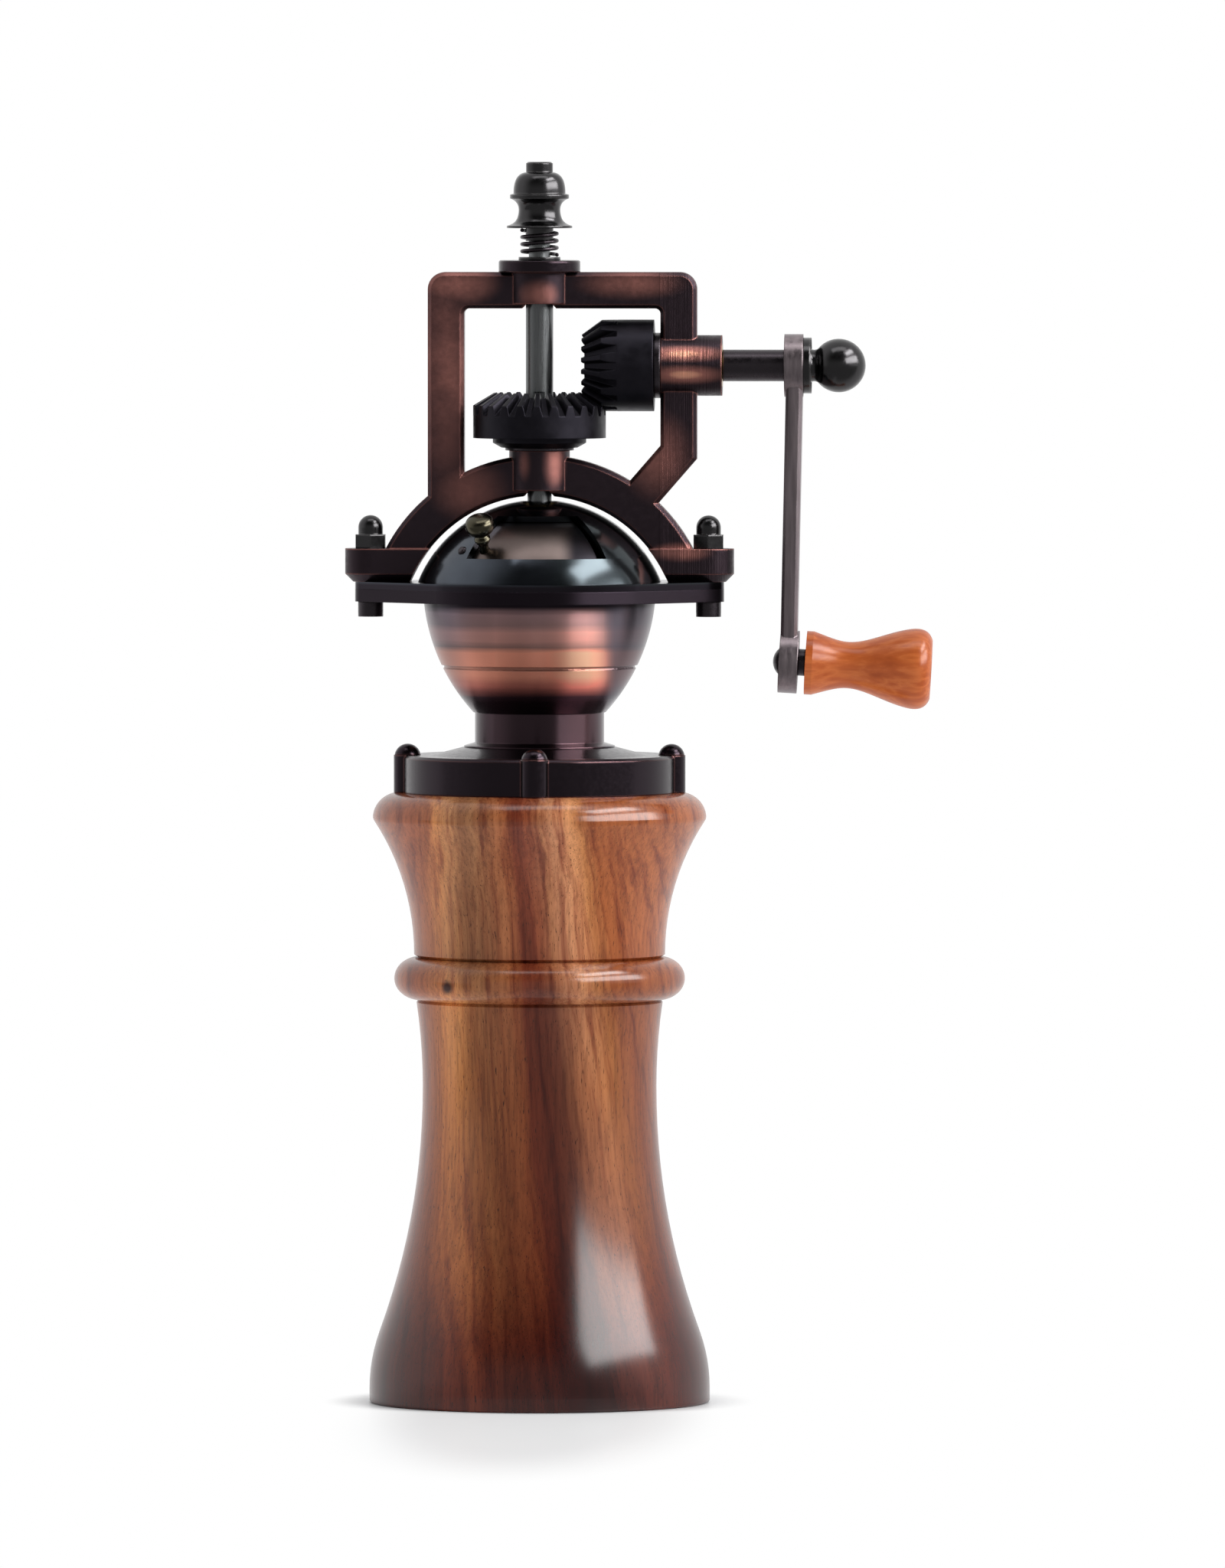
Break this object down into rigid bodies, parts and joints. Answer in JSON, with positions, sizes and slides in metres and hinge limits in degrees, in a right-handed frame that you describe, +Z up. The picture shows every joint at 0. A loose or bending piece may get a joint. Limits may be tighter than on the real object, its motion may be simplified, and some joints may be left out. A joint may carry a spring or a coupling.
{
  "type": "hand-cranked burr grinder",
  "caption": "Slim turned-wood burr grinder with a domed filling chamber, an arched metal yoke, open bevel gears, a side crank with a wooden grip and a top adjusting finial.",
  "frame": {"origin": "centre of the base on the mill's upright axis, at the level it stands on", "axes": "+Z up along the mill's axis, +X towards the crank, -Y the front, where the dome's filling window is"},
  "size_m": [0.1095, 0.0636, 0.2312],
  "materials": {
    "walnut": "clear satin varnish over turned walnut, light and dark streaks",
    "orange_wood": "gloss varnish, orange stain",
    "dark_casting": "near-black bronze lacquer, glossy",
    "bronzed_casting": "antique bronze, dark with rubbed copper edges",
    "copper_bowl": "brushed antique copper fading to black at the foot",
    "gunmetal_dome": "glossy blue-black",
    "dark_steel": "blackened",
    "shaft_steel": "ground, darkened",
    "black_gear": "black, fine cast",
    "crank_steel": "dark pewter",
    "bush_brass": "turned",
    "burr_steel": "hardened, bare",
    "plate_steel": "plated"
  },
  "bodies": {
    "mill": {"wood_body": "walnut", "collar_ring": "dark_casting", "collar_screws": "dark_casting", "bowl": "copper_bowl", "dome_seat": "gunmetal_dome", "dome": "gunmetal_dome", "stop_rivet": "dark_steel", "dome_bush": "dark_steel", "shutter_clip": "dark_steel", "frame": "bronzed_casting", "frame_screws": "dark_steel", "acorn_nuts": "dark_steel", "lower_bush": "bush_brass", "gear_washer": "dark_steel", "top_bush": "dark_casting", "spring_washer": "dark_steel", "adjuster_spring": "dark_steel", "crank_bush": "bush_brass", "crank_washer": "dark_steel", "guide_bridge": "burr_steel", "stator_burr": "burr_steel", "retainer_plate": "plate_steel", "plate_screws": "plate_steel"},
    "crank": {"crank_shaft": "dark_steel", "pinion": "black_gear", "pinion_screw": "dark_steel", "crank_arm": "crank_steel", "ball_knob": "dark_casting", "handle_pin": "dark_steel"},
    "grip": {"grip": "orange_wood"},
    "drive": {"drive_gear": "black_gear"},
    "spindle": {"drive_shaft": "shaft_steel", "rotor_burr": "burr_steel", "rotor_washer": "burr_steel", "rotor_nut": "burr_steel"},
    "adjuster": {"finial": "dark_casting"},
    "shutter": {"shutter": "gunmetal_dome", "shutter_knob": "dark_steel"}
  },
  "joints": [
    {"name": "crank_spin", "type": "hinge", "parent": "mill", "child": "crank", "pos_m": [0.034, 0, 0.1933], "axis": [1, 0, 0], "continuous": true},
    {"name": "gear_spin", "type": "hinge", "parent": "mill", "child": "drive", "pos_m": [0, 0, 0.1798], "axis": [0, 0, 1], "continuous": true},
    {"name": "grip_spin", "type": "hinge", "parent": "crank", "child": "grip", "pos_m": [0.04644, 0, 0.13814], "axis": [0.9984, 0, -0.0558], "continuous": true},
    {"name": "adjuster_turn", "type": "hinge", "parent": "drive", "child": "adjuster", "pos_m": [0, 0, 0.219], "axis": [0, 0, 1], "range_deg": [-360, 360]},
    {"name": "burr_lift", "type": "slide", "parent": "drive", "child": "spindle", "axis": [0, 0, 1], "range_m": [-0.0007, 0.0007]},
    {"name": "shutter_turn", "type": "hinge", "parent": "mill", "child": "shutter", "pos_m": [0, 0, 0.1655], "axis": [0, 0, 1], "range_deg": [0, 68]}
  ],
  "couplings": [
    {"joint": "gear_spin", "follows": "crank_spin", "ratio": 0.66667},
    {"joint": "adjuster_turn", "follows": "burr_lift", "rad_per_m": -8975.9}
  ]
}
